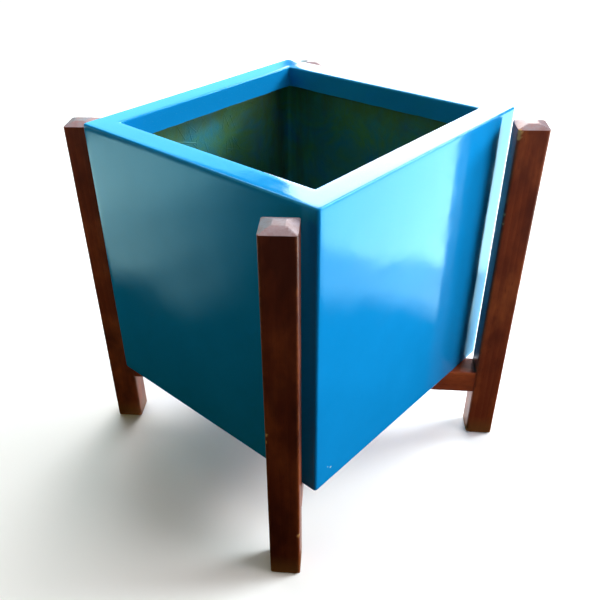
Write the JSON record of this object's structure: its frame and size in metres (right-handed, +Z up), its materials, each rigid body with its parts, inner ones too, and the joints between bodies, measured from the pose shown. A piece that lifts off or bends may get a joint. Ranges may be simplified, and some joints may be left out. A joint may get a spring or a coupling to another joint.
{
  "type": "planter on a cross stand",
  "caption": "Open cube planter with a flat rim turned down inside, resting on the crossed rails of a four-legged wooden stand, from which it lifts out.",
  "frame": {"origin": "on the floor, under the middle of the planter and of the stand", "axes": "+Z up; the planter's walls face +X, -X, +Y and -Y, with -Y as the front; the stand's rails are turned 7.7 degrees from the planter's diagonals"},
  "size_m": [0.523, 0.523, 0.525],
  "materials": {
    "gelcoat": "glossy azure gel coat on moulded fibreglass, raw laminate inside below the lip",
    "stained_wood": "dark red-brown stain, satin",
    "beech_dowel": "raw fluted beech, glued",
    "black_rubber": "matte",
    "glide_plastic": "moulded brown plastic",
    "zinc_steel": "zinc plated"
  },
  "bodies": {
    "stand": {"dowels_back_left": "beech_dowel", "dowels_back_right": "beech_dowel", "dowels_front_left": "beech_dowel", "dowels_front_right": "beech_dowel", "glide_back_left": "glide_plastic", "glide_back_right": "glide_plastic", "glide_front_left": "glide_plastic", "glide_front_right": "glide_plastic", "glide_nails": "zinc_steel", "lap_screw": "zinc_steel", "leg_back_left": "stained_wood", "leg_back_right": "stained_wood", "leg_front_left": "stained_wood", "leg_front_right": "stained_wood", "rail_lower": "stained_wood", "rail_upper": "stained_wood"},
    "planter": {"planter_shell": "gelcoat"},
    "plug": {"drain_plug": "black_rubber"}
  },
  "joints": [
    {"name": "planter_lift", "type": "slide", "parent": "stand", "child": "planter", "axis": [0, 0, 1], "range_m": [0, 0.42]},
    {"name": "plug_pull", "type": "slide", "parent": "planter", "child": "plug", "axis": [0, 0, 1], "range_m": [0, 0.42]}
  ]
}
